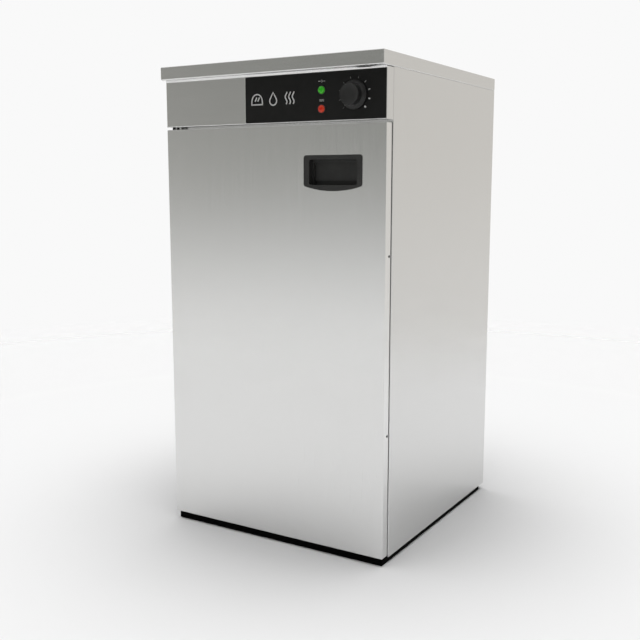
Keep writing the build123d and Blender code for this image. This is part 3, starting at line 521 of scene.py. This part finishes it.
# ---------------------------------------------------------------- pilot lamps
def make_lens(node, slot):
    """A domed lens in a thin black collar, standing on the panel."""
    low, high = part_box(node)
    rise = PANEL_LOW.y - low.y
    centre = middle(node)
    place = facing((0, -1, 0), (centre.x, PANEL_LOW.y, centre.z))
    collar_r = 0.875 * LAMP_R
    outline = [(collar_r, -0.6 * MM), (LAMP_R, -0.6 * MM), (LAMP_R, 0.14 * rise)]
    outline += arc_points((LAMP_R - 0.4 * MM, 0.16 * rise), 0.4 * MM, 0, 90, 5)
    outline += [(collar_r, 0.2 * rise), (collar_r, -0.6 * MM)]
    bm = bmesh.new()
    add_turned(bm, outline, place, 64)
    bmesh.ops.remove_doubles(bm, verts=bm.verts, dist=1e-7)
    mesh_piece(node + "_collar", bm, finishes["control_plastic"], "cabinet")
    lens_r = collar_r - 0.05 * MM
    dome = [(lens_r * math.cos(turn), (0.30 + 0.70 * math.sin(turn)) * rise)
            for turn in (math.radians(6 * step) for step in range(15))]
    bm = bmesh.new()
    add_turned(bm, [(0.0, -1.2 * MM), (lens_r, -1.2 * MM)] + dome + [(0.0, rise)], place, 64)
    lens = mesh_piece(node + "_domed", bm, finishes[slot], "cabinet")
    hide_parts(node)


# ---------------------------------------------------------------- slim strips on the front
def add_bar(bm, profile, start, end):
    """Adds a bar. start and end turn a profile point into a corner of either end."""
    ends = [[bm.verts.new(place(point)) for point in profile] for place in (start, end)]
    for index in range(len(profile)):
        nxt = (index + 1) % len(profile)
        bm.faces.new((ends[0][index], ends[0][nxt], ends[1][nxt], ends[1][index]))
    for end_ring in ends:
        bm.faces.new(end_ring)


def make_fascia_strips():
    """A rolled strip that closes the joint under the worktop, and a hem along the fascia."""
    low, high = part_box("fascia")
    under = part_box("worktop")[0].z
    reach, drop, crown = 1.6 * MM, 3.0 * MM, 0.35 * MM
    sunk, steps = 0.4 * MM, 6
    upper = [(low.y - reach * step / steps + crown * math.sin(math.pi * step / steps) - 0.05 * MM,
              under - drop * (1 - step / steps)) for step in range(steps + 1)]
    upper += [(low.y + sunk, under), (low.y + sunk, under - drop)]
    hem_r = 0.75 * MM
    hem = [(low.y + 0.1 * MM - hem_r * math.sin(turn), low.z + hem_r - hem_r * math.cos(turn))
           for turn in (math.pi * step / 8 for step in range(9))]
    inset = 0.6 * MM
    for name, profile in (("worktop_front_strip", upper), ("fascia_hem", hem)):
        bm = bmesh.new()
        add_bar(bm, profile, lambda point: (low.x + inset, *point),
                lambda point: (high.x - inset, *point))
        mesh_piece(name, bm, steel_across, "cabinet")


def make_door_lip():
    """The gasket's outer lip, which fills the gap behind the door's free edge."""
    low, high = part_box("door_skin")
    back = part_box("right_side_panel")[0].y - 0.3 * MM
    centre_x, half, end_gap = high.x - 1.7 * MM, 0.9 * MM, 2 * MM
    lip = [(centre_x + half * math.cos(turn), back - half + half * math.sin(turn))
           for turn in (math.pi * step / 8 for step in range(9))]
    lip += [(centre_x - half, high.y), (centre_x + half, high.y)]
    bm = bmesh.new()
    add_bar(bm, lip, lambda point: (*point, low.z + end_gap),
            lambda point: (*point, high.z - end_gap))
    mesh_piece("gasket_lip", bm, finishes["gasket_silicone"], "door")


# ---------------------------------------------------------------- screws
def add_cross_screw(bm, centre, direction, radius, height):
    """A pan head with a cross recess, looking along a direction."""
    rings, steps = 14, 48
    grid = []
    for ring in range(rings + 1):
        share = ring / rings
        row = []
        for step in range(steps):
            turn = 2 * math.pi * step / steps
            u, v = radius * share * math.cos(turn), radius * share * math.sin(turn)
            top = height * math.sqrt(max(0.0, 1 - (0.9 * share) ** 4))
            arm = min(abs(u), abs(v)) < 0.13 * radius and share < 0.62
            row.append((u, v, 0.45 * top if arm else top))
        grid.append(row)
    place = facing(direction, centre)
    tip = bm.verts.new(place @ Vector((0, 0, 0.35 * height)))
    loops = [[bm.verts.new(place @ Vector(point)) for point in row] for row in grid[1:]]
    loops.append([bm.verts.new(place @ Vector((point[0], point[1], 0.0))) for point in grid[-1]])
    for step in range(steps):
        bm.faces.new((tip, loops[0][step], loops[0][(step + 1) % steps]))
        for inner, outer in zip(loops, loops[1:]):
            bm.faces.new((inner[step], outer[step], outer[(step + 1) % steps],
                          inner[(step + 1) % steps]))
    bm.faces.new(list(reversed(loops[-1])))


def islands(node):
    """Low and high corners of each separate solid in a CAD node."""
    mesh = frame["nodes"][node].data
    bm = bmesh.new()
    bm.from_mesh(mesh)
    bmesh.ops.remove_doubles(bm, verts=bm.verts, dist=1e-6)
    left = set(bm.verts)
    boxes = []
    while left:
        stack, found = [left.pop()], []
        while stack:
            vert = stack.pop()
            found.append(vert.co.copy())
            for edge in vert.link_edges:
                other = edge.other_vert(vert)
                if other in left:
                    left.remove(other)
                    stack.append(other)
        boxes.append((Vector(map(min, *found)), Vector(map(max, *found))))
    bm.free()
    return sorted(boxes, key=lambda box: tuple(box[0]))


def make_screws(node, direction, body, slot):
    """Replaces a node of plain heads by heads with a cross recess."""
    way = Vector(direction)
    bm = bmesh.new()
    for low, high in islands(node):
        size = high - low
        height = abs(size.dot(way))
        radius = max(size.x * (1 - abs(way.x)), size.z * (1 - abs(way.z))) / 2
        centre = (low + high) / 2 - way * height / 2
        add_cross_screw(bm, centre, way, radius, height)
    screws = mesh_piece(node + "_cross", bm, finishes[slot], body, sharp=40.0)
    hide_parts(node)


# ---------------------------------------------------------------- door gasket
def make_gasket():
    """One mitred ring of a soft section: base, two bellows folds and a sealing bulb."""
    low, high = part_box("door_gasket")
    width, thick = 10 * MM, high.y - low.y
    section = [(0.0, 0.0), (0.0, 0.20), (0.12, 0.30), (0.05, 0.42), (0.14, 0.54), (0.04, 0.68),
               (0.02, 0.84), (0.10, 0.95), (0.25, 1.0), (0.62, 1.0), (0.80, 0.94), (0.90, 0.82),
               (0.86, 0.66), (0.78, 0.56), (0.90, 0.44), (0.80, 0.30), (1.0, 0.20), (1.0, 0.0)]
    bm = bmesh.new()
    loops = []
    for inward, out in section:
        step = inward * width
        y = low.y + out * thick
        loops.append([bm.verts.new(corner) for corner in (
            (low.x + step, y, low.z + step), (high.x - step, y, low.z + step),
            (high.x - step, y, high.z - step), (low.x + step, y, high.z - step))])
    for here, there in zip(loops, loops[1:] + loops[:1]):
        for side in range(4):
            nxt = (side + 1) % 4
            bm.faces.new((here[side], here[nxt], there[nxt], there[side]))
    gasket = mesh_piece("gasket_ring", bm, finishes["gasket_silicone"], "door",
                        sharp=60.0)
    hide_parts("door_gasket")


# ---------------------------------------------------------------- studio
FLOOR_HALF = 3.0
FLOOR_SOLID, FLOOR_END = 1.3, 2.6         # where the paper begins and ends to thin out
PAPER = (0.80, 0.80, 0.80)
PAPER_SHADOW_GAIN = 0.84                       # gain of the painted shadow on the paper beside the cabinet
SHADOW_NEAR, SHADOW_FAR = 0.28, 0.70        # radii between which the painted shadow fades back to the paper's full tone
BACKDROP = 0.947                          # what the camera sees round the cabinet
SKY_LOW, SKY_HIGH = 0.08, 4.445           # soft light from the room, and from straight above
SKY_START = 0.722                         # height of a direction where the light above begins
BOUNCE = 0.0                              # share of the room that steel throws on the floor
ROOM_TURN = (0.1, -0.9)                   # Y of a direction, from the back wall to the front one
FRONT_WALL = ((-0.40, (1.05, 1.05, 1.05)), (-0.185, (1.06, 1.06, 1.06)),
              (0.03, (0.245, 0.25, 0.229)), (0.30, (0.256, 0.262, 0.246)),
              (0.70, (1.0, 1.0, 1.0)), (1.00, (0.62, 0.62, 0.61)))
BACK_WALL = ((-0.30, (0.90, 0.90, 0.88)), (-0.15, (0.84, 0.825, 0.80)),
             (0.06, (0.763, 0.738, 0.699)), (0.30, (0.768, 0.747, 0.709)),
             (0.70, (1.0, 1.0, 1.0)), (1.00, (0.62, 0.62, 0.61)))

LENS, SENSOR = 50.0, 36.0
CAMERA_RIGHT, CAMERA_FRONT = 0.8707, 1.2593   # from the middle of the worktop's front edge
CAMERA_HEIGHT = 0.6480
CAMERA_DOWN, CAMERA_TURN = 0.15461, 0.54350   # radians below level, and round from the front


def make_floor():
    """A sheet of pale paper with a painted shadow round the cabinet, deepening its real one, that
    thins out far off.
    """
    plane = bmesh.new()
    corners = ((-1, -1), (1, -1), (1, 1), (-1, 1))
    plane.faces.new([plane.verts.new((x * FLOOR_HALF, y * FLOOR_HALF, 0.0)) for x, y in corners])
    mesh = bpy.data.meshes.new("studio_floor")
    plane.to_mesh(mesh)
    plane.free()
    paper = Surface("studio_paper", PAPER, 1.0, Specular_IOR_Level=0.0)
    coords = paper.tree.nodes.new("ShaderNodeTexCoord")
    reach = paper.vector("LENGTH", coords.outputs["Object"]).outputs["Value"]
    # Painted shadow: the paper's colour darkens towards the cabinet.
    painted_shadow = paper.tree.nodes.new("ShaderNodeMath")
    painted_shadow.operation = "POWER"
    painted_shadow.inputs[1].default_value = 2.0
    paper.link(paper.spread(reach, 1.0, 0.0, SHADOW_NEAR, SHADOW_FAR), painted_shadow.inputs[0])
    paper.tint(painted_shadow.outputs["Value"], 1.0, PAPER_SHADOW_GAIN, 0.0, 1.0)
    paper.link(paper.spread(reach, 1.0, 0.0, FLOOR_SOLID, FLOOR_END), paper.shader.inputs["Alpha"])
    mesh.materials.append(paper.material)
    floor = bpy.data.objects.new("studio_floor", mesh)
    bpy.context.scene.collection.objects.link(floor)


def height_ramp(tree, height, stops):
    """Room colour by the height of a direction, from (height, colour) stops."""
    ramp = tree.nodes.new("ShaderNodeValToRGB")
    ramp.color_ramp.interpolation = "EASE"
    tree.links.new(map_range(tree, height, -1.0, 1.0, 0.0, 1.0), ramp.inputs["Fac"])
    made = ramp.color_ramp.elements
    while len(made) < len(stops):
        made.new(0.5)
    for stop, (level, colour) in zip(made, stops):
        stop.position = (level + 1) / 2
        stop.color = (*colour, 1.0)
    return ramp.outputs["Color"]


def room_colour(tree, direction):
    """What glossy surfaces reflect: the front wall, the back wall and a blend between them."""
    mix = tree.nodes.new("ShaderNodeMix")
    mix.data_type = "RGBA"
    tree.links.new(map_range(tree, direction.outputs["Y"], *ROOM_TURN, 0.0, 1.0),
                   mix.inputs["Factor"])
    tree.links.new(height_ramp(tree, direction.outputs["Z"], BACK_WALL), mix.inputs["A"])
    tree.links.new(height_ramp(tree, direction.outputs["Z"], FRONT_WALL), mix.inputs["B"])
    return mix.outputs["Result"]


def background(tree, colour, strength):
    """A background shader; colour and strength are numbers or the sockets that give them."""
    made = tree.nodes.new("ShaderNodeBackground")
    for socket, value in (("Color", colour), ("Strength", strength)):
        if isinstance(value, bpy.types.NodeSocket):
            tree.links.new(value, made.inputs[socket])
        else:
            made.inputs[socket].default_value = value
    return made.outputs["Background"]


def either(tree, question, when_not, when_so):
    """One of two shaders, by a Light Path question."""
    mix = tree.nodes.new("ShaderNodeMixShader")
    tree.links.new(question, mix.inputs["Fac"])
    tree.links.new(when_not, mix.inputs[1])
    tree.links.new(when_so, mix.inputs[2])
    return mix.outputs["Shader"]


def make_world():
    """White studio, tuned to the photograph: each kind of ray sees its own room.

    The camera sees the backdrop, steel reflects the walls, and the rest gets the soft light.
    """
    world = bpy.data.worlds.new("studio")
    bpy.context.scene.world = world
    world.use_nodes = True
    # Sampled as a lamp, the soft light would reach steel too and burn it white from above.
    world.cycles.sampling_method = "NONE"
    tree = world.node_tree
    tree.nodes.clear()
    coords = tree.nodes.new("ShaderNodeTexCoord")
    direction = tree.nodes.new("ShaderNodeSeparateXYZ")
    tree.links.new(coords.outputs["Generated"], direction.inputs["Vector"])
    path = tree.nodes.new("ShaderNodeLightPath")
    seen_by_steel = map_range(tree, path.outputs["Diffuse Depth"], 0.0, 1.0, 1.0, BOUNCE)
    reflected = background(tree, room_colour(tree, direction), seen_by_steel)
    sky = map_range(tree, direction.outputs["Z"], SKY_START, 1.0, SKY_LOW, SKY_HIGH)
    soft_light = background(tree, (1.0, 1.0, 1.0, 1.0), sky)
    backdrop = background(tree, (BACKDROP, BACKDROP, BACKDROP, 1.0), 1.0)
    indirect = either(tree, path.outputs["Is Glossy Ray"], soft_light, reflected)
    output = tree.nodes.new("ShaderNodeOutputWorld")
    tree.links.new(either(tree, path.outputs["Is Camera Ray"], indirect, backdrop),
                   output.inputs["Surface"])


def make_camera():
    """In front of the cabinet and to its right, 0.2 m under the worktop."""
    low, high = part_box("worktop")
    data = bpy.data.cameras.new("camera")
    data.lens, data.sensor_width = LENS, SENSOR
    camera = bpy.data.objects.new("camera", data)
    camera.location = ((low.x + high.x) / 2 + CAMERA_RIGHT, low.y - CAMERA_FRONT, CAMERA_HEIGHT)
    camera.rotation_euler = (math.pi / 2 - CAMERA_DOWN, 0.0, CAMERA_TURN)
    bpy.context.scene.collection.objects.link(camera)
    bpy.context.scene.camera = camera


# ---------------------------------------------------------------- making
pale_ink = printed_ink("panel_ink", (0.62, 0.62, 0.60))
white_ink = printed_ink("sign_ink", (0.80, 0.80, 0.79))
make_knob()
make_pointer(pale_ink)
make_dial(white_ink)
make_lamp_signs(pale_ink)
make_emblem(white_ink)
make_lens(GREEN, "lens_green")
make_lens(RED, "lens_red")
make_fascia_strips()
make_screws("back_screws", (0, 1, 0), "cabinet", "fixings")
make_screws("door_panel_screws", (0, 1, 0), "door", "fixings")
make_screws("door_edge_screws", (1, 0, 0), "door", "black_fixings")
make_gasket()
make_door_lip()
make_floor()
make_world()
make_camera()
bpy.context.scene.view_settings.view_transform = "Standard"
